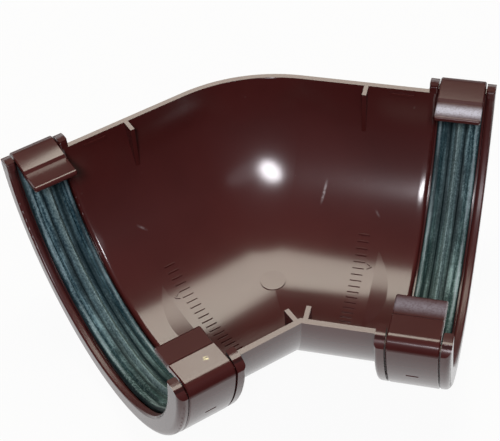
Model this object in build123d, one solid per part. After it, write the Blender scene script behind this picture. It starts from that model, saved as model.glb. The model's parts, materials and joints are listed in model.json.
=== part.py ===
from build123d import *
from math import asin, atan, cos, degrees, hypot, radians, sin, sqrt, tan
import os

# A moulded angle for half-round gutter, lying with its open side up, in millimetres and degrees.
# Each arm is drawn along X with its rim at Z = 0 and its back at +Y, then swung by half the bend.
# The trough is a little less than half a circle: the centre of its section lies above the rim.

# Trough
fitting_angle = 135.0       # between the arms, seen from above
gutter_width = 112.0        # outside of the gutter that is laid in the sockets
gutter_depth = 49.0
gutter_play = 1.5           # gutter to trough
wall = 2.0

# Sockets, with lengths along the arm
arm_length = 72.4           # corner centre to end face
end_flange_length = 3.2
channel_length = 17.6
inner_flange_length = 3.2
flange_rise = 5.7           # beyond the outside of the trough
flange_edge_radius = 1.2
end_edge_radius = 2.2
mouth_edge_radius = 0.7
flange_root_radius = 1.0
ear_height = 3.3            # flange ends above the rim
ear_round = 6.0             # over their outer side
channel_depth = 2.5         # seal seat below the trough's inside
channel_wall = 1.8
seat_edge_radius = 1.5      # rounded brink of the trough beside the seal
ledge_thickness = 1.2       # pad that the clip's hook catches under
ledge_sweep = 30.0          # from the rim down to the catching edge

# Moulded details inside the trough
stop_depth = 5.4            # fin that the gutter's end meets, at the rim
stop_thickness = 1.6
back_stop = 25.0            # corner centre to fin
front_stop_gap = 0.9        # inner corner to fin
ramp_start = 36.5
ramp_length = 6.3
ramp_height = 0.7
ramp_chord = 38.0
nib_start = 34.0
nib_length = 9.0
nib_height = 1.0
nib_depth = 0.8
nib_drop = 1.6              # below the rim
gate_diameter = 9.4
gate_height = 0.4

# Clips
clip_side_gap = 0.5         # clip to flange
clip_gap = 0.2              # clip to socket
clip_wall = 2.1
clip_rise = 4.1             # top of the pad produced to the skirt, above the rim
clip_fall = 1.8             # of the pad towards the lip
shoulder_radius = 3.8
shoulder_reach = 1.25       # depth of the shoulder in radii
pad_width = 9.0
step_drop = 0.8
step_run = 1.2
lip_width = 8.6
lip_thickness = 2.4
lip_end_flat = 0.1
hook_sweep = 7.0
clip_chamfer = 0.4          # along the outside of both ends
mark_length = 4.0
mark_height = 1.1
mark_depth = 0.5
mark_drop = 14.0            # degrees below the rim

# Seals
seal_side_gap = 0.8         # seal to flange
seal_gap = 0.1              # seal to its seat
seal_body = 2.0
seal_end_drop = 1.0         # below the rim
seal_squeeze = 0.3          # crest of the middle lip into the gutter's place
middle_lip_width = 2.6
middle_groove = 1.2
band_rise = 0.9             # side bands above the seal's body
rib_groove = 0.7
seal_edge_radius = 0.25

bend = (180 - fitting_angle) / 2
half_width = gutter_width / 2
gutter_radius = (half_width**2 + gutter_depth**2) / (2 * gutter_depth)
centre_height = gutter_radius - gutter_depth
trough_radius = gutter_radius + gutter_play
outer_radius = trough_radius + wall
middle_radius = trough_radius + wall / 2
flange_radius = outer_radius + flange_rise
seat_radius = trough_radius + channel_depth
channel_radius = seat_radius + channel_wall
ledge_radius = channel_radius + ledge_thickness
end_flange_start = arm_length - end_flange_length
channel_start = end_flange_start - channel_length
inner_flange_start = channel_start - inner_flange_length

round_the_arm = Axis((0, 0, 0), (-1, 0, 0))
on_centre = Pos(0, 0, centre_height)
on_arm = Rot(0, 0, -bend)


def at_rim(radius):
    """Distance from the middle of the arm to where a circle of the section meets the rim."""
    return sqrt(radius**2 - centre_height**2)


def below_centre(radius):
    """Angle from the level of the centre down to where a circle of the section meets the rim."""
    return degrees(asin(centre_height / radius))


def under_rim(piece, drop=0.0):
    return split(piece, bisect_by=Plane.XY.offset(-drop), keep=Keep.BOTTOM)


def half_turn(profile, drop=0.0):
    """Sweeps a profile of length by radius round under the arm and cuts it off level with the rim."""
    return under_rim(on_centre * revolve(profile, round_the_arm, 180), drop)


def to_front(piece):
    return mirror(piece, about=Plane.XZ)


def to_left(piece):
    return mirror(piece, about=Plane.YZ)


def arm_shell():
    """Trough wall, inner flange, seal channel and end flange as one swept section."""
    corners = [
        (0, trough_radius, 0),
        (channel_start, trough_radius, seat_edge_radius),
        (channel_start, seat_radius, 0),
        (end_flange_start, seat_radius, 0),
        (end_flange_start, trough_radius, seat_edge_radius),
        (arm_length, trough_radius, mouth_edge_radius),
        (arm_length, flange_radius, end_edge_radius),
        (end_flange_start, flange_radius, 0),
        (end_flange_start, channel_radius, 0),
        (channel_start, channel_radius, 0),
        (channel_start, flange_radius, 0),
        (inner_flange_start, flange_radius, flange_edge_radius),
        (inner_flange_start, outer_radius, flange_root_radius),
        (0, outer_radius, 0),
    ]
    section = FilletPolyline(
        [(along, radius) for along, radius, _ in corners],
        radius=[edge for _, _, edge in corners],
        close=True,
    )
    return half_turn(make_face(section))


def corner_shell():
    """Rounded outer corner: the trough's back wall turned about the upright line of the bend."""
    back_quarter = make_face(
        [
            CenterArc((0, 0), outer_radius, -90, 90),
            Line((outer_radius, 0), (trough_radius, 0)),
            CenterArc((0, 0), trough_radius, -90, 90),
            Line((0, -trough_radius), (0, -outer_radius)),
        ]
    )
    ball = Rot(0, 0, 90 - bend) * revolve(Plane.XZ * back_quarter, Axis.Z, 2 * bend)
    return under_rim(on_centre * ball)


def ear(start, length, corner_edge, end_edge):
    """End of a flange above the rim, rounded over its outer side."""
    outline = FilletPolyline(
        (start, trough_radius),
        (start, flange_radius),
        (start + length, flange_radius),
        (start + length, trough_radius),
        radius=[mouth_edge_radius, corner_edge, end_edge, mouth_edge_radius],
        close=True,
    )
    sweep = 2 * below_centre(trough_radius) + degrees(ear_height / trough_radius)
    ring = on_centre * Rot(sweep / 2, 0, 0) * revolve(make_face(outline), round_the_arm, sweep)
    reach = at_rim(flange_radius)
    round_height = ear_height - ear_round
    round_start = degrees(asin(-round_height / ear_round))
    round_middle = reach - ear_round * cos(radians(round_start))
    side = make_face(
        [
            Line((0, 0), (reach, 0)),
            CenterArc((round_middle, round_height), ear_round, round_start, 90 - round_start),
            Line((round_middle, ear_height), (0, ear_height)),
            Line((0, ear_height), (0, 0)),
        ]
    )
    return ring & extrude(Plane.YZ * side, 2 * arm_length, dir=(1, 0, 0))


def stop_fin(along):
    """Fin between the trough wall and an upright chord, flush with the rim."""
    chord = at_rim(trough_radius) - stop_depth
    strip = Pos(chord, 0) * Rectangle(stop_depth + wall, middle_radius, align=(Align.MIN, Align.MAX))
    blade = Pos(0, centre_height) * Circle(middle_radius) & strip
    return Pos(along - stop_thickness / 2, 0, 0) * extrude(Plane.YZ * blade, stop_thickness, dir=(1, 0, 0))


def insertion_ramp():
    """Wedge in the trough's bottom that rises towards the corner and ends in a straight step."""
    half_chord = ramp_chord / 2
    trough_sag = trough_radius - sqrt(trough_radius**2 - half_chord**2)
    ramp_sag = trough_sag - ramp_height
    ramp_radius = (half_chord**2 + ramp_sag**2) / (2 * ramp_sag)
    ramp_slope = degrees(atan(ramp_height / ramp_length))
    both_arms = 2 * arm_length
    lying = Rot(0, 90, 0)
    step_top = Pos(ramp_start, 0, ramp_height - trough_radius)
    above_slope = Rot(0, ramp_slope, 0) * Pos(0, 0, ramp_radius)
    bed = Pos(ramp_start, 0, -outer_radius) * Box(
        ramp_length, ramp_chord, trough_radius, align=(Align.MIN, Align.CENTER, Align.MIN)
    )
    bed &= lying * Cylinder(middle_radius, both_arms)
    return on_centre * (bed - step_top * above_slope * lying * Cylinder(ramp_radius, both_arms))


def back_nib():
    """Short ledge just below the back rim."""
    lift = nib_depth + wall / 2
    bar = Pos(nib_start + nib_length / 2, middle_radius - lift / 2) * Rectangle(nib_length, lift)
    nib_top = below_centre(trough_radius) + degrees(nib_drop / trough_radius)
    sweep = degrees(nib_height / trough_radius)
    return on_centre * Rot(-nib_top, 0, 0) * revolve(bar, round_the_arm, sweep)


def clip_ledge():
    """Thickened pad outside the seal channel, which ends in the edge that the clip's hook catches."""
    rise = ledge_thickness + channel_wall / 2
    bar = Pos(channel_start + channel_length / 2, ledge_radius - rise / 2) * Rectangle(channel_length, rise)
    return under_rim(on_centre * revolve(bar, round_the_arm, below_centre(ledge_radius) + ledge_sweep))


def angle_body():
    inner_ear = ear(inner_flange_start, inner_flange_length, flange_edge_radius, 0)
    end_ear = ear(end_flange_start, end_flange_length, 0, end_edge_radius)
    front_stop = at_rim(outer_radius) * tan(radians(bend)) + front_stop_gap
    arm = arm_shell()
    for piece in (inner_ear, end_ear, clip_ledge()):
        arm += piece
        arm += to_front(piece)
    arm += stop_fin(back_stop)
    arm += to_front(stop_fin(front_stop))
    arm += insertion_ramp()
    arm += back_nib()
    right = split(on_arm * arm, bisect_by=Plane.YZ, keep=Keep.TOP)
    gate = on_centre * Pos(0, 0, -middle_radius) * Cylinder(
        gate_diameter / 2, wall / 2 + gate_height, align=(Align.CENTER, Align.CENTER, Align.MIN)
    )
    return right + to_left(right) + corner_shell() + gate


def on_circle(radius, turn):
    """Point of a section's circle, turned down from the level of its centre."""
    return (radius * cos(radians(turn)), centre_height - radius * sin(radians(turn)))


def clip():
    """Push-on clip of one section: hooked skirt, shoulder, sloping pad over the gutter and finger lip."""
    skirt_inside = ledge_radius + clip_gap
    skirt_outside = skirt_inside + clip_wall
    hook_inside = channel_radius + clip_gap
    hook_start = below_centre(ledge_radius) + ledge_sweep + degrees(clip_gap / ledge_radius)
    hook_end = hook_start + hook_sweep
    crown_base = clip_rise - shoulder_reach * shoulder_radius
    inside_rim = below_centre(skirt_inside)
    outside_rim = degrees(asin((centre_height - crown_base) / skirt_outside))
    front = skirt_outside * cos(radians(outside_rim))
    pad_inner = front - shoulder_radius - pad_width
    pad_height = clip_rise - clip_fall
    pad_slope = clip_fall / (front - pad_inner)
    lip_root = pad_inner - step_run
    lip_height = pad_height - step_drop
    lip_tip = lip_root - lip_width
    lip_under = lip_height - lip_thickness
    tip_radius = (lip_thickness - lip_end_flat) / 2
    inside_corner = clip_wall / 2
    crown = FilletPolyline(
        (front, crown_base),
        (front, clip_rise),
        (pad_inner, pad_height),
        (lip_root, lip_height),
        (lip_tip, lip_height),
        (lip_tip, lip_under),
        (pad_inner, lip_under),
        (pad_inner + step_run, pad_height - clip_wall),
        (at_rim(skirt_inside), clip_rise - clip_wall),
        (at_rim(skirt_inside), 0),
        radius=[shoulder_radius, 0, 0, tip_radius, tip_radius, 0, 0, inside_corner],
    )
    centre = (0, centre_height)
    section = make_face(
        [
            *crown.edges(),
            CenterArc(centre, skirt_inside, -hook_start, hook_start - inside_rim),
            Line(on_circle(skirt_inside, hook_start), on_circle(hook_inside, hook_start)),
            CenterArc(centre, hook_inside, -hook_end, hook_end - hook_start),
            Line(on_circle(hook_inside, hook_end), on_circle(skirt_outside, hook_end)),
            CenterArc(centre, skirt_outside, -hook_end, hook_end - outside_rim),
        ]
    )
    width = channel_length - 2 * clip_side_gap
    block = extrude(Plane.YZ * section, width / 2, dir=(1, 0, 0), both=True)
    skirt_middle = (skirt_inside + skirt_outside) / 2

    def on_outside(point):
        pad_middle = clip_rise - pad_slope * (front - point.Y) - clip_wall / 2
        return hypot(point.Y, point.Z - centre_height) > skirt_middle or point.Z > pad_middle

    ends = block.faces().filter_by(Axis.X).edges()
    outside = [edge for edge in ends if on_outside(edge @ 0.5)]
    block = chamfer(outside, clip_chamfer)
    mark_place = on_centre * Rot(-outside_rim - mark_drop, 0, 0) * Pos(0, skirt_outside, 0)
    return block - mark_place * Box(mark_length, 2 * mark_depth, mark_height)


def seal():
    """Ribbed strip round the socket: a body on the seat, two grooved side bands and a taller middle lip."""
    back = seat_radius - seal_gap
    face = back - seal_body
    band = face - band_rise
    crest = gutter_radius - seal_squeeze
    end = channel_length / 2 - seal_side_gap
    lip_foot = middle_lip_width / 2
    band_foot = lip_foot + middle_groove
    bevel = band_rise / 2
    rib = (end + band_foot) / 2
    right_half = [
        (lip_foot, face, 0),
        (band_foot, face, 0),
        (band_foot + bevel, band, 0),
        (rib - rib_groove, band, 0),
        (rib, face, 0),
        (rib + rib_groove, band, 0),
        (end - bevel, band, 0),
        (end, face, 0),
        (end, back, 0),
    ]
    left_half = [(-along, radius, edge) for along, radius, edge in reversed(right_half)]
    corners = [*left_half, (0, crest, seal_edge_radius), *right_half]
    outline = FilletPolyline(
        [(along, radius) for along, radius, _ in corners],
        radius=[edge for _, _, edge in corners],
        close=True,
    )
    return half_turn(make_face(outline), seal_end_drop)


# The same clip and seal serve both sockets, turned about the upright line.
channel_middle = channel_start + channel_length / 2
right_socket = on_arm * Pos(channel_middle, 0, 0)
left_socket = Rot(0, 0, bend) * Pos(-channel_middle, 0, 0)
turned = Rot(0, 0, 180)
pieces = {
    "angle_body": angle_body(),
    "seal_left": left_socket * seal(),
    "seal_right": right_socket * seal(),
    "clip_left_back": left_socket * clip(),
    "clip_left_front": left_socket * turned * clip(),
    "clip_right_back": right_socket * clip(),
    "clip_right_front": right_socket * turned * clip(),
}

# The whole part stands with the middle of its footprint at the origin.
box = Compound(list(pieces.values())).bounding_box()
to_origin = Pos(0, -box.center().Y, -box.min.Z)
os.makedirs("parts", exist_ok=True)
for name, piece in pieces.items():
    export_step(to_origin * piece, f"parts/{name}.step")
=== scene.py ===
import json
from math import atan2, cos, hypot, radians, sin, sqrt

import bmesh
import bpy
from mathutils import Matrix, Vector


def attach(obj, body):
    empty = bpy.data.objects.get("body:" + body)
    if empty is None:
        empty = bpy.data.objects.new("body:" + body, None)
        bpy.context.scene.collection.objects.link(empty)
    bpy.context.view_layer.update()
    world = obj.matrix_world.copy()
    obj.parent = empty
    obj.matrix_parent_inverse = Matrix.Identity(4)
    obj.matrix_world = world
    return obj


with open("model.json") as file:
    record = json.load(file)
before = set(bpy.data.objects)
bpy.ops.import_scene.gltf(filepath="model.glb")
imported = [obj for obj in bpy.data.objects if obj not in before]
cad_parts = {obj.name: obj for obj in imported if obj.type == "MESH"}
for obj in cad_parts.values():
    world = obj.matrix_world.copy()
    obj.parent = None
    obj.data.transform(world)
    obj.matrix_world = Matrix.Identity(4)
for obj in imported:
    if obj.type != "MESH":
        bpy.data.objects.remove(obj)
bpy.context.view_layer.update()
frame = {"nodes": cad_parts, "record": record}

# Angle body
# One injection moulding in dark red-brown PVC, polished by its mould to a soft gloss.
# Storage has left a few pale rubs on the inside and fine dust everywhere.

# The right socket gives the rim's height, the arm's direction and length, and the corner's place.
MM = 0.001
SOCKET = next(mount for mount in frame["record"]["mounts"] if mount["name"] == "socket_right")
RIM = SOCKET["pos_m"][2]
ALONG = Vector(SOCKET["axis"])
BEND = atan2(-ALONG.y, ALONG.x)
ARM_LENGTH = SOCKET["pos_m"][0] / ALONG.x
CORNER_Y = SOCKET["pos_m"][1] - ARM_LENGTH * ALONG.y

# The trough is round about an axis that lies a little above the rim.
GUTTER_RADIUS = SOCKET["dims"]["r_mm"] * MM
GUTTER_HALF_WIDTH = 56 * MM
GUTTER_PLAY = 1.5 * MM
CENTRE = RIM + sqrt(GUTTER_RADIUS**2 - GUTTER_HALF_WIDTH**2)
TROUGH_RADIUS = GUTTER_RADIUS + GUTTER_PLAY


class Shade:
    """A socket of a node tree, on which Python's own arithmetic adds Math nodes."""

    def __init__(self, tree, socket=None):
        self.tree = tree
        self.socket = socket

    def node(self, kind, settings=None, sockets=None, output=0):
        """A new node: first its settings, then its sockets' values or links. Gives one of its outputs."""
        made = self.tree.nodes.new(kind)
        for name, value in (settings or {}).items():
            setattr(made, name, value)
        for name, value in (sockets or {}).items():
            if isinstance(value, Shade):
                self.tree.links.new(value.socket, made.inputs[name])
            else:
                made.inputs[name].default_value = value
        return Shade(self.tree, made.outputs[output] if made.outputs else None)

    def math(self, operation, *values):
        return self.node("ShaderNodeMath", {"operation": operation}, dict(enumerate(values)))

    def __add__(self, other):
        return self.math("ADD", self, other)

    def __sub__(self, other):
        return self.math("SUBTRACT", self, other)

    def __rsub__(self, other):
        return self.math("SUBTRACT", other, self)

    def __mul__(self, other):
        return self.math("MULTIPLY", self, other)

    def __pow__(self, other):
        return self.math("POWER", self, other)

    def __rpow__(self, other):
        return self.math("POWER", other, self)

    __radd__ = __add__
    __rmul__ = __mul__

    def size(self):
        """The value without its sign."""
        return self.math("ABSOLUTE", self)

    def limit(self, low, high):
        return self.node("ShaderNodeClamp", {}, {"Value": self, "Min": low, "Max": high})

    def rise(self, low, high):
        """0 below low and 1 above high, with a smooth step between; falls if high is the smaller."""
        settings = {"interpolation_type": "SMOOTHSTEP"}
        return self.node("ShaderNodeMapRange", settings, {"Value": self, "From Min": low, "From Max": high})

    def near(self, middle, reach):
        """1 at the middle, falling to 0 at that reach on either side."""
        return (self - middle).size().rise(reach, 0)

    def between(self, low, high):
        """Low where this is 0 and high where it is 1."""
        return low + (high - low) * self

    def mix(self, factor, first, second):
        """One colour over another, as far as the factor says."""
        settings = {"data_type": "RGBA", "clamp_factor": True}
        return self.node("ShaderNodeMix", settings, {0: factor, 6: first, 7: second}, 2)

    def noise(self, place, scale, detail=2.0, roughness=0.5):
        sockets = {"Vector": place, "Scale": scale, "Detail": detail, "Roughness": roughness}
        return self.node("ShaderNodeTexNoise", {}, sockets)

    def point(self, x, y, z):
        return self.node("ShaderNodeCombineXYZ", {}, {"X": x, "Y": y, "Z": z})

    def parts(self):
        """The three parts of a vector."""
        split = self.node("ShaderNodeSeparateXYZ", {}, {"Vector": self})
        return [Shade(self.tree, part) for part in split.socket.node.outputs]


def empty_tree(owner):
    """The owner's node tree with nothing in it, to build a shader on."""
    owner.use_nodes = True
    owner.node_tree.nodes.clear()
    return Shade(owner.node_tree)


def new_material(name):
    """An empty node material, with the part's own coordinates in metres as a place and its three parts."""
    material = bpy.data.materials.new(name)
    shade = empty_tree(material)
    place = shade.node("ShaderNodeTexCoord", {}, {}, "Object")
    return material, shade, place, *place.parts()


def finish_material(shade, looks, relief):
    """Closes a material with a principled shader, whose relief is a height in metres."""
    bump = shade.node("ShaderNodeBump", {}, {"Height": relief, "Distance": 1.0})
    surface = shade.node("ShaderNodeBsdfPrincipled", {}, {**looks, "Normal": bump})
    shade.node("ShaderNodeOutputMaterial", {}, {"Surface": surface})


def dress(node, material):
    """Puts the material on the node in place of what it had."""
    slots = frame["nodes"][node].data.materials
    slots.clear()
    slots.append(material)


def arm_place(x, y):
    """How far a point lies from the corner, along its arm and across it. The two arms are alike."""
    behind = y - CORNER_Y
    along = x.size() * cos(BEND) - behind * sin(BEND)
    across = x.size() * sin(BEND) + behind * cos(BEND)
    return along, across


def axis_distance(across, z):
    """How far a point lies from the axis of its arm's trough."""
    below = CENTRE - z
    return (across * across + below * below) ** 0.5


# The plastic is slightly cloudy and wavy, with a fine grain and specks of dust.
BROWN = (0.058, 0.0072, 0.0062, 1)
BROWN_LIGHT = (0.069, 0.0096, 0.0084, 1)
DUST = (0.16, 0.12, 0.11, 1)
DUST_STRENGTH = 0.25
CLOUD_SCALE = 28
GRAIN_SCALE = 900
DUST_SCALE = 420
WAVE_SCALE = 55
CLOUD_RANGE = (0.35, 0.7)
DUST_RANGE = (0.78, 0.86)
POLISH = 0.14
CLOUD_DULLING = 0.04
GRAIN_DULLING = 0.03
DUST_DULLING = 0.1
WAVE_HEIGHT = 0.05 * MM
GRAIN_HEIGHT = 0.002 * MM
SHEEN = {"IOR": 1.5, "Coat Weight": 0.32, "Coat IOR": 1.5, "Coat Roughness": 0.6}


def plastic_looks(shade, place):
    """Colour, roughness and relief that every moulded brown piece has."""
    cloud = shade.noise(place, CLOUD_SCALE, detail=3)
    grain = shade.noise(place, GRAIN_SCALE)
    dust = shade.noise(place, DUST_SCALE, detail=1).rise(*DUST_RANGE)
    wave = shade.noise(place, WAVE_SCALE, detail=1)
    colour = shade.mix(cloud.rise(*CLOUD_RANGE), BROWN, BROWN_LIGHT)
    colour = shade.mix(dust * DUST_STRENGTH, colour, DUST)
    roughness = POLISH + CLOUD_DULLING * cloud + GRAIN_DULLING * grain + DUST_DULLING * dust
    relief = WAVE_HEIGHT * wave + GRAIN_HEIGHT * grain
    return colour, roughness, relief


# The trough's walls bend softly away towards the seal, and its floor runs straight.
INSIDE_RADII = (TROUGH_RADIUS + 1.0 * MM, TROUGH_RADIUS + 0.4 * MM)
INSIDE_HEIGHTS = (RIM, RIM - 4 * MM)
BRINK_HEIGHTS = (CENTRE - 53 * MM, CENTRE - 44 * MM)
BRINK_START = ARM_LENGTH - 24.5 * MM
BRINK_LENGTH = 4.0 * MM
BRINK_CURVE = 31

# The top of the back rim slopes a little towards the inside.
RIM_DEPTH = 0.4 * MM
RIM_MIDDLE = 58 * MM
RIM_REACH = 7 * MM
RIM_LEAN = 0.13

# The flanges' ends above the rim lean a little backwards.
EAR_HEIGHTS = (RIM + 2.2 * MM, RIM + 2.9 * MM)
EAR_MIDDLE = 60 * MM
EAR_REACH = 4 * MM
EAR_LEAN = 0.3

# The insides of the end flanges are duller than the rest, up to their end faces.
END_START = ARM_LENGTH - 3.4 * MM
END_RADIUS = TROUGH_RADIUS + 3 * MM
END_FADE = 0.3 * MM
END_FACE = (ARM_LENGTH - 0.2 * MM, ARM_LENGTH - 0.6 * MM)
END_DULLING = 0.2

# Each pale rub is a short stroke on the inside: two ends in plan and half its width, in millimetres
# from the corner, and its strength.
RUB = (0.30, 0.24, 0.24, 1)
RUB_SCALE = 700
RUB_RANGE = (0.2, 0.6)
RUB_DULLING = 0.3
RUBS = [
    ((27.9, 33.0), (23.2, 25.2), 0.75, 1.0),
    ((-47.4, 24.0), (-42.8, 22.6), 0.6, 0.5),
    ((43.0, 18.9), (44.3, 14.8), 0.6, 0.35),
]


def on_stroke(x, y, start, end, half_width):
    """1 in the middle of a stroke from start to end in plan, fading towards its ends and sides."""
    run_x, run_y = end[0] - start[0], end[1] - start[1]
    length = hypot(run_x, run_y)
    step_x, step_y = run_x / length, run_y / length
    from_x = x - start[0] * MM
    from_y = y - (start[1] * MM + CORNER_Y)
    forward = from_x * step_x + from_y * step_y
    aside = from_x * -step_y + from_y * step_x
    half_length = length / 2 * MM
    return aside.near(0, half_width * MM) * forward.near(half_length, half_length)


def body_plastic():
    """The angle's plastic, with its softened edges, duller ends and rubs."""
    material, shade, place, x, y, z = new_material("body_plastic")
    colour, roughness, relief = plastic_looks(shade, place)
    along, across = arm_place(x, y)
    radius = axis_distance(across, z)
    inside = radius.rise(*INSIDE_RADII) * z.rise(*INSIDE_HEIGHTS)
    brink = (along - BRINK_START).limit(0, BRINK_LENGTH)
    relief = relief - inside * brink * brink * z.rise(*BRINK_HEIGHTS) * BRINK_CURVE
    rim_top = z.near(RIM, RIM_DEPTH) * across.rise(0, MM)
    relief = relief + rim_top * RIM_LEAN * (across - RIM_MIDDLE).limit(-RIM_REACH, RIM_REACH)
    ear_top = z.rise(*EAR_HEIGHTS)
    for middle in (-EAR_MIDDLE, EAR_MIDDLE):
        relief = relief - ear_top * EAR_LEAN * (across - middle).limit(-EAR_REACH, EAR_REACH)
    ragged = shade.noise(place, RUB_SCALE).rise(*RUB_RANGE)
    for start, end, half_width, strength in RUBS:
        rub = on_stroke(x, y, start, end, half_width) * ragged * strength
        colour = shade.mix(rub, colour, RUB)
        roughness = roughness + RUB_DULLING * rub
    end_inside = along.rise(END_START - END_FADE, END_START) * along.rise(*END_FACE)
    end_inside = end_inside * radius.rise(END_RADIUS + END_FADE, END_RADIUS)
    roughness = roughness + END_DULLING * end_inside
    looks = {"Base Color": colour, "Roughness": roughness, **SHEEN}
    finish_material(shade, looks, relief)
    return material


dress("angle_body", body_plastic())

# Fitting marks
# A row of short raised strokes across each arm's floor shows how deep the gutter goes.
# They belong to the moulding, stand a fraction of a millimetre proud and are plain strokes.

MARK_ROW = 30.2 * MM
MARK_REACH = 26 * MM
MARK_SPACING = 2.8 * MM
MARK_LENGTH = 4.3 * MM
MARK_WIDTH = 0.6 * MM
MARK_HEIGHT = 0.35 * MM
MARK_SEAT = 0.15 * MM
MARK_CROWN = 0.6
ARROW_TIP = (35.0 * MM, 12.4 * MM)
ARROW_ARM = (1.6 * MM, 1.1 * MM)


def on_trough(side, along, across, lift):
    """Point of the trough's inside at a length along the arm and an arc across it, lifted inwards."""
    turn = across / TROUGH_RADIUS
    radius = TROUGH_RADIUS - lift
    place = ALONG * along + Vector((sin(BEND), cos(BEND), 0)) * radius * sin(turn)
    return Vector((side * place.x, CORNER_Y + place.y, CENTRE - radius * cos(turn)))


def add_stroke(mesh, side, start, end):
    """Small bar with sloping flanks between two (along, across) ends, sunk a little into the trough."""
    run = Vector((end[0] - start[0], end[1] - start[1]))
    aside = Vector((-run.y, run.x)).normalized() * MARK_WIDTH / 2
    rings = []
    for lift, spread in ((-MARK_SEAT, 1), (MARK_HEIGHT / 2, 1), (MARK_HEIGHT, MARK_CROWN)):
        ring = []
        for base, way in ((start, 1), (end, 1), (end, -1), (start, -1)):
            corner = Vector(base) + aside * way * spread
            ring.append(mesh.verts.new(on_trough(side, corner.x, corner.y, lift)))
        rings.append(ring)
    for lower, upper in zip(rings, rings[1:]):
        for place in range(len(lower)):
            following = (place + 1) % len(lower)
            mesh.faces.new((lower[place], lower[following], upper[following], upper[place]))
    mesh.faces.new(rings[-1])
    mesh.faces.new(list(reversed(rings[0])))


def new_piece(name, mesh, material):
    """Makes the mesh a piece of the part, in the given material."""
    bmesh.ops.recalc_face_normals(mesh, faces=mesh.faces)
    data = bpy.data.meshes.new(name)
    mesh.to_mesh(data)
    mesh.free()
    data.materials.append(material)
    piece = bpy.data.objects.new(name, data)
    bpy.context.scene.collection.objects.link(piece)
    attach(piece, "root")


marks = bmesh.new()
marks_each_way = int(MARK_REACH // MARK_SPACING)
for side in (-1, 1):
    for place in range(-marks_each_way, marks_each_way + 1):
        start, end = ((MARK_ROW + way * MARK_LENGTH / 2, place * MARK_SPACING) for way in (-1, 1))
        add_stroke(marks, side, start, end)
    for way in (-1, 1):
        arm_end = (ARROW_TIP[0] - ARROW_ARM[0], ARROW_TIP[1] + way * ARROW_ARM[1])
        add_stroke(marks, side, arm_end, ARROW_TIP)
new_piece("fitting_marks", marks, frame["nodes"]["angle_body"].data.materials[0])

# Seals
# A strip of ribbed synthetic rubber is pressed into each socket's channel.
# It is a dull blue-green grey, with chalky bloom drawn out along its ribs.

RUBBER_BLUE = (0.009, 0.036, 0.052, 1)
RUBBER_GREEN = (0.024, 0.056, 0.052, 1)
# Deep dark rubber for the dark streaks, also used as painted shade in the grooves and at the edges.
RUBBER_DARK_AND_SHADE = (0.002, 0.009, 0.011, 1)
BLOOM_BLUE = (0.21, 0.33, 0.36, 1)
BLOOM_GREEN = (0.26, 0.38, 0.365, 1)
RUBBER_ROUGHNESS = (0.5, 0.7)
RUBBER_FINISH = {"IOR": 1.45, "Specular IOR Level": 0.25}

# The rubber is bluer at the back and greener in front: where it is all blue and all green, across the arm.
LEFT_TURN = (30 * MM, -25 * MM)
RIGHT_TURN = (75 * MM, 5 * MM)

# Across the strip, a ridge along its middle is pale with chalky bloom and a painted highlight on its crest;
# on either side painted shade darkens a groove and the edge, and a painted highlight draws a pale line.
SEAL_MIDDLE = ARM_LENGTH - 12 * MM
RIDGE_REACH = 2.0 * MM
RIDGE_BLOOM_AND_HIGHLIGHT = (0.25, 0.35, 0.35, 1)
RIDGE_SPECKS = (0.35, 0.65)
RIDGE_STRENGTH = (0.3, 1.0)
GROOVE_SHADE_MIDDLE = 2.6 * MM
GROOVE_SHADE_REACH = 1.5 * MM
GROOVE_SHADE_STRENGTH = (0.65, 0.95)
HIGHLIGHT_LINE_MIDDLE = 6.8 * MM
HIGHLIGHT_LINE_REACH = 0.8 * MM
HIGHLIGHT_LINE_COLOUR = (0.42, 0.50, 0.52, 1)
HIGHLIGHT_LINE_STREAKS = (0.35, 0.6)
HIGHLIGHT_LINE_STRENGTH = (0.24, 0.6)
EDGE_SHADE_RANGE = (7.2 * MM, 7.9 * MM)
EDGE_SHADE_STRENGTH = 0.8

# The bloom lies in streaks that are drawn out round the trough's axis, with specks and patches.
# It is stronger on the strip's outer half, and deep dark streaks run between.
STREAK_DRAW = 4 * MM
STREAK_SCALE = 700
STREAK_RANGE = (0.42, 0.66)
STREAK_STRENGTH = 0.6
SPECK_SCALE = 1300
SPECK_RANGE = (0.42, 0.70)
SPECK_STRENGTH = 0.5
PATCH_SCALE = 130
PATCH_RANGE = (0.38, 0.60)
PATCH_STRENGTH = (0.5, 1.0)
OUTER_RANGE = (0, 4 * MM)
OUTER_STRENGTH = (0.7, 1.3)
DEEP_STREAK_SCALE = 430
DEEP_STREAK_RANGE = (0.50, 0.64)
DEEP_STREAK_STRENGTH = 0.6
BLOOM_HEIGHT = 0.06 * MM


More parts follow.
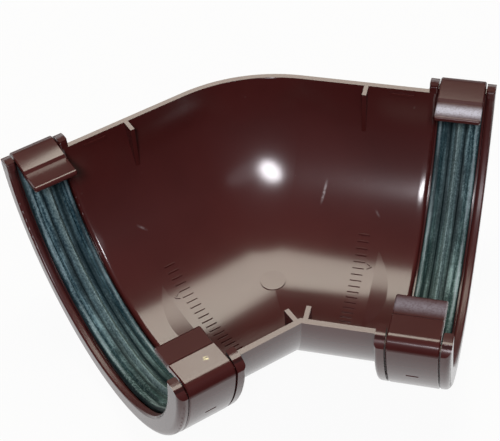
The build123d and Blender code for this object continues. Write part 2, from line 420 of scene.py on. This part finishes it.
def seal_rubber(name, colour_turn):
    """The rubber of one seal, which turns from blue to green between two places across the arm."""
    material, shade, place, x, y, z = new_material(name)
    along, across = arm_place(x, y)
    from_middle = along - SEAL_MIDDLE
    turn = shade.math("ARCTAN2", across, CENTRE - z)
    drawn = shade.point(from_middle, turn * STREAK_DRAW, axis_distance(across, z))
    streak = shade.noise(drawn, STREAK_SCALE, detail=4, roughness=0.6)
    deep_streak = shade.noise(drawn, DEEP_STREAK_SCALE, detail=3, roughness=0.6).rise(*DEEP_STREAK_RANGE)
    patch = shade.noise(place, PATCH_SCALE, detail=3).rise(*PATCH_RANGE)
    speck = shade.noise(place, SPECK_SCALE, detail=3, roughness=0.6)
    green = across.rise(*colour_turn)
    chalk = STREAK_STRENGTH * streak.rise(*STREAK_RANGE) + SPECK_STRENGTH * speck.rise(*SPECK_RANGE)
    chalk = chalk * patch.between(*PATCH_STRENGTH)
    chalk = chalk * from_middle.rise(*OUTER_RANGE).between(*OUTER_STRENGTH)
    aside = from_middle.size()
    groove_shade = aside.near(GROOVE_SHADE_MIDDLE, GROOVE_SHADE_REACH) * streak.between(*GROOVE_SHADE_STRENGTH)
    ridge_bloom_and_highlight = aside.rise(RIDGE_REACH, 0) * speck.rise(*RIDGE_SPECKS).between(*RIDGE_STRENGTH)
    highlight_line = aside.near(HIGHLIGHT_LINE_MIDDLE, HIGHLIGHT_LINE_REACH) * streak.rise(*HIGHLIGHT_LINE_STREAKS) * green.between(*HIGHLIGHT_LINE_STRENGTH)
    edge_shade = aside.rise(*EDGE_SHADE_RANGE)
    bloom = shade.mix(green, BLOOM_BLUE, BLOOM_GREEN)
    colour = shade.mix(green, RUBBER_BLUE, RUBBER_GREEN)
    colour = shade.mix(chalk, colour, bloom)
    colour = shade.mix(deep_streak * DEEP_STREAK_STRENGTH, colour, RUBBER_DARK_AND_SHADE)
    # Painted shade darkens the grooves on either side of the ridge.
    colour = shade.mix(groove_shade, colour, RUBBER_DARK_AND_SHADE)
    # The pale ridge is chalky bloom and a painted highlight on its crest.
    colour = shade.mix(ridge_bloom_and_highlight, colour, RIDGE_BLOOM_AND_HIGHLIGHT)
    # Painted highlight: a pale line near each side of the strip.
    colour = shade.mix(highlight_line, colour, HIGHLIGHT_LINE_COLOUR)
    # Painted shade darkens the strip's edges, in the gaps to its channel.
    colour = shade.mix(edge_shade * EDGE_SHADE_STRENGTH, colour, RUBBER_DARK_AND_SHADE)
    looks = {"Base Color": colour, "Roughness": speck.between(*RUBBER_ROUGHNESS), **RUBBER_FINISH}
    finish_material(shade, looks, (streak + speck) * BLOOM_HEIGHT)
    return material


dress("seal_left", seal_rubber("seal_rubber_left", LEFT_TURN))
dress("seal_right", seal_rubber("seal_rubber_right", RIGHT_TURN))

# Clips
# Four like mouldings in the same brown plastic are pushed over the sockets' edges and catch under a ledge.
# Handling has dulled the right back one, and both lips on the right are pale grey, partly rubbed and partly
# a painted reflection of the flash.

CLIP_TOP = (RIM + 1.0 * MM, RIM + 1.3 * MM)
BACK_DULLING = 0.22

# The lips and the back pads lean backwards a little: from and to across the arm in millimetres,
# the slope and its growth.
LEANS = [(-51.4, -42.0, 0.26, 0), (42.0, 51.4, 0.26, 0), (52.0, 62.5, 0.12, 11)]

# The right lips are painted a pale grey, partly a rub and partly a painted reflection of the flash: from
# and to across the arm in millimetres, and the strength.
LIP_RUB_AND_REFLECTION = (0.62, 0.62, 0.74, 1)
LIP_RUB_AND_REFLECTION_SCALE = 1600
LIP_RUB_AND_REFLECTION_RANGE = (0.3, 0.6)
LIP_RUB_AND_REFLECTION_STRENGTH = (0.55, 1.0)
LIP_RUB_AND_REFLECTION_SPREAD = 0.62
LIP_RUBS_AND_REFLECTIONS = [(43.6, 50.6, 1.2), (-50.6, -43.6, 0.35)]

# A small pale yellowish glint is painted on the left front pad.
PAD_GLINT = (-31.7 * MM, CORNER_Y - 74.6 * MM)
PAD_GLINT_SIZE = 1.1 * MM
PAD_GLINT_COLOUR = (0.95, 0.85, 0.42, 1)
PAD_GLINT_SCALE = 1100
PAD_GLINT_RANGE = (0.38, 0.62)
PAD_GLINT_STRENGTH = 3


def clip_plastic():
    """The clips' plastic, with leaning tops, lips pale with rubs and a painted reflection, and a painted
    glint.
    """
    material, shade, place, x, y, z = new_material("clip_plastic")
    colour, roughness, relief = plastic_looks(shade, place)
    across = arm_place(x, y)[1]
    for low, high, lean, growth in LEANS:
        reach = across.limit(low * MM, high * MM) - low * MM
        relief = relief - reach * (lean + growth * reach)
    top = z.rise(*CLIP_TOP)
    right_top = x.rise(0, MM) * top
    roughness = roughness + BACK_DULLING * right_top * across.rise(0, MM)
    lip_rub_and_reflection = shade.noise(place, LIP_RUB_AND_REFLECTION_SCALE, detail=3, roughness=0.6).rise(*LIP_RUB_AND_REFLECTION_RANGE)
    lip_rub_and_reflection = right_top * lip_rub_and_reflection.between(*LIP_RUB_AND_REFLECTION_STRENGTH)
    # Pale grey on the right lips: partly a rub, partly a painted reflection of the flash.
    for low, high, strength in LIP_RUBS_AND_REFLECTIONS:
        rub = lip_rub_and_reflection * across.near((low + high) / 2 * MM, (high - low) * LIP_RUB_AND_REFLECTION_SPREAD * MM)
        colour = shade.mix(rub * strength, colour, LIP_RUB_AND_REFLECTION)
    # Painted glint on the left front pad.
    pad_glint = x.near(PAD_GLINT[0], PAD_GLINT_SIZE) * y.near(PAD_GLINT[1], PAD_GLINT_SIZE) * top
    glint_shape = shade.noise(place, PAD_GLINT_SCALE).rise(*PAD_GLINT_RANGE)
    colour = shade.mix(pad_glint * glint_shape * PAD_GLINT_STRENGTH, colour, PAD_GLINT_COLOUR)
    looks = {"Base Color": colour, "Roughness": roughness, **SHEEN}
    finish_material(shade, looks, relief)
    return material


clip_material = clip_plastic()
for clip in ("clip_left_back", "clip_left_front", "clip_right_back", "clip_right_front"):
    dress(clip, clip_material)

# Studio
# A white floor lies under the part, a pale panel hangs high behind it, and the room glows dimly all round.
# An oval flash stands behind the camera, a little to its left, and a weak broad reflector to its right.

WHITE = (1, 1, 1, 1)
BLACK = (0, 0, 0, 1)
ROOM_GLOW = 0.032
FLOOR_SIZE = 12.0
FLOOR_GREY = (0.65, 0.65, 0.65, 1)
FLOOR_WHITENESS = 0.94
POOL_START = 0.085
POOL_END = 0.165
POOL_BACK = (-0.03, 0.03)
PANEL_HEIGHT = 0.9
PANEL_GLOW = 6.9
PANEL_COLOUR = (1.0, 0.95, 0.82, 1)
PANEL_OUTLINE = [(-0.21, 0.287), (0.40, 0.287), (0.40, 0.60), (-0.15, 1.43), (-0.21, 1.43)]


def add_card(name, corners, surface):
    """Flat card of the studio, with its own material."""
    data = bpy.data.meshes.new(name)
    data.from_pydata(corners, [], [list(range(len(corners)))])
    card = bpy.data.objects.new(name, data)
    bpy.context.scene.collection.objects.link(card)
    material = bpy.data.materials.new(name)
    shade = empty_tree(material)
    shade.node("ShaderNodeOutputMaterial", {}, {"Surface": surface(shade)})
    data.materials.append(material)


def white_floor(shade):
    """White card that keeps a shadow and mirrors as a bright pool round the part and behind it."""
    x, y, _ = shade.node("ShaderNodeTexCoord", {}, {}, "Object").parts()
    around = ((x * x + y * y) ** 0.5).rise(POOL_END, POOL_START)
    pool = shade.math("MAXIMUM", around, y.rise(*POOL_BACK))
    seen = shade.node("ShaderNodeLightPath", {}, {}, "Is Camera Ray")
    mirrored = shade.node("ShaderNodeLightPath", {}, {}, "Is Glossy Ray")
    mirrored = mirrored + shade.node("ShaderNodeLightPath", {}, {}, "Is Transmission Ray")
    glow = shade.mix(seen + mirrored * pool, BLACK, WHITE)
    white = shade.node("ShaderNodeEmission", {}, {"Color": glow, "Strength": 1.0})
    card = shade.node("ShaderNodeBsdfDiffuse", {}, {"Color": FLOOR_GREY})
    return shade.node("ShaderNodeMixShader", {}, {0: FLOOR_WHITENESS * seen + mirrored, 1: card, 2: white})


def pale_panel(shade):
    """Card that only glows."""
    return shade.node("ShaderNodeEmission", {}, {"Color": PANEL_COLOUR, "Strength": PANEL_GLOW})


half_floor = FLOOR_SIZE / 2
floor_corners = [(x * half_floor, y * half_floor, 0) for x, y in ((-1, -1), (1, -1), (1, 1), (-1, 1))]
add_card("floor", floor_corners, white_floor)
add_card("panel", [(x, CORNER_Y + y, RIM + PANEL_HEIGHT) for x, y in PANEL_OUTLINE], pale_panel)

room = bpy.data.worlds.new("room")
bpy.context.scene.world = room
shade = empty_tree(room)
glow = shade.node("ShaderNodeBackground", {}, {"Color": WHITE, "Strength": ROOM_GLOW})
shade.node("ShaderNodeOutputWorld", {}, {"Surface": glow})

LAMP_COLOUR = (0.97, 0.95, 1.0)
LAMP_TARGET = Vector((0.007, CORNER_Y + 0.040, RIM - 0.033))
FLASH_PLACE = Vector((-0.409, CORNER_Y - 2.017, RIM + 2.117))
FLASH_SPIN = radians(-41)
FLASH_SIZE = (0.88, 0.60)
FLASH_POWER = 54
REFLECTOR_PLACE = Vector((0.52, CORNER_Y - 2.00, RIM + 2.02))
REFLECTOR_SPIN = radians(10)
REFLECTOR_SIZE = (1.5, 0.60)
REFLECTOR_POWER = 2.4


def add_lamp(name, place, spin, size, power):
    """Oval lamp, turned about its own axis, that faces the back of the corner."""
    light = bpy.data.lights.new(name, "AREA")
    light.shape = "ELLIPSE"
    light.size, light.size_y = size
    light.energy = power
    light.color = LAMP_COLOUR
    lamp = bpy.data.objects.new(name, light)
    facing = (LAMP_TARGET - place).to_track_quat("-Z", "Y").to_matrix().to_4x4()
    lamp.matrix_world = Matrix.Translation(place) @ facing @ Matrix.Rotation(spin, 4, "Z")
    bpy.context.scene.collection.objects.link(lamp)


add_lamp("flash", FLASH_PLACE, FLASH_SPIN, FLASH_SIZE, FLASH_POWER)
add_lamp("reflector", REFLECTOR_PLACE, REFLECTOR_SPIN, REFLECTOR_SIZE, REFLECTOR_POWER)

# Camera
# It stands in front, a little left of the middle, and looks down at about 45 degrees.
# Its place, roll and focal length are those that bring the rims and ends onto the photo's.

CAMERA_TURN = radians(-6.083)
CAMERA_RISE = radians(45.532)
CAMERA_ROLL = radians(-4.463)
CAMERA_DISTANCE = 466 * MM
AIM = Vector((-8.606 * MM, CORNER_Y - 16.353 * MM, RIM))
FOCAL_PIXELS = 1376
IMAGE_WIDTH = 500
SENSOR_WIDTH = 36

backward = Vector((
    sin(CAMERA_TURN) * cos(CAMERA_RISE),
    -cos(CAMERA_TURN) * cos(CAMERA_RISE),
    sin(CAMERA_RISE),
))
level_right = (-backward).cross(Vector((0, 0, 1))).normalized()
level_up = level_right.cross(-backward)
right = cos(CAMERA_ROLL) * level_right + sin(CAMERA_ROLL) * level_up
up = cos(CAMERA_ROLL) * level_up - sin(CAMERA_ROLL) * level_right
axes = Matrix((right, up, backward)).transposed().to_4x4()
lens = bpy.data.cameras.new("camera")
lens.sensor_width = SENSOR_WIDTH
lens.lens = FOCAL_PIXELS / IMAGE_WIDTH * SENSOR_WIDTH
camera = bpy.data.objects.new("camera", lens)
camera.matrix_world = Matrix.Translation(AIM + backward * CAMERA_DISTANCE) @ axes
bpy.context.scene.collection.objects.link(camera)
bpy.context.scene.camera = camera
bpy.context.scene.view_settings.view_transform = "Standard"
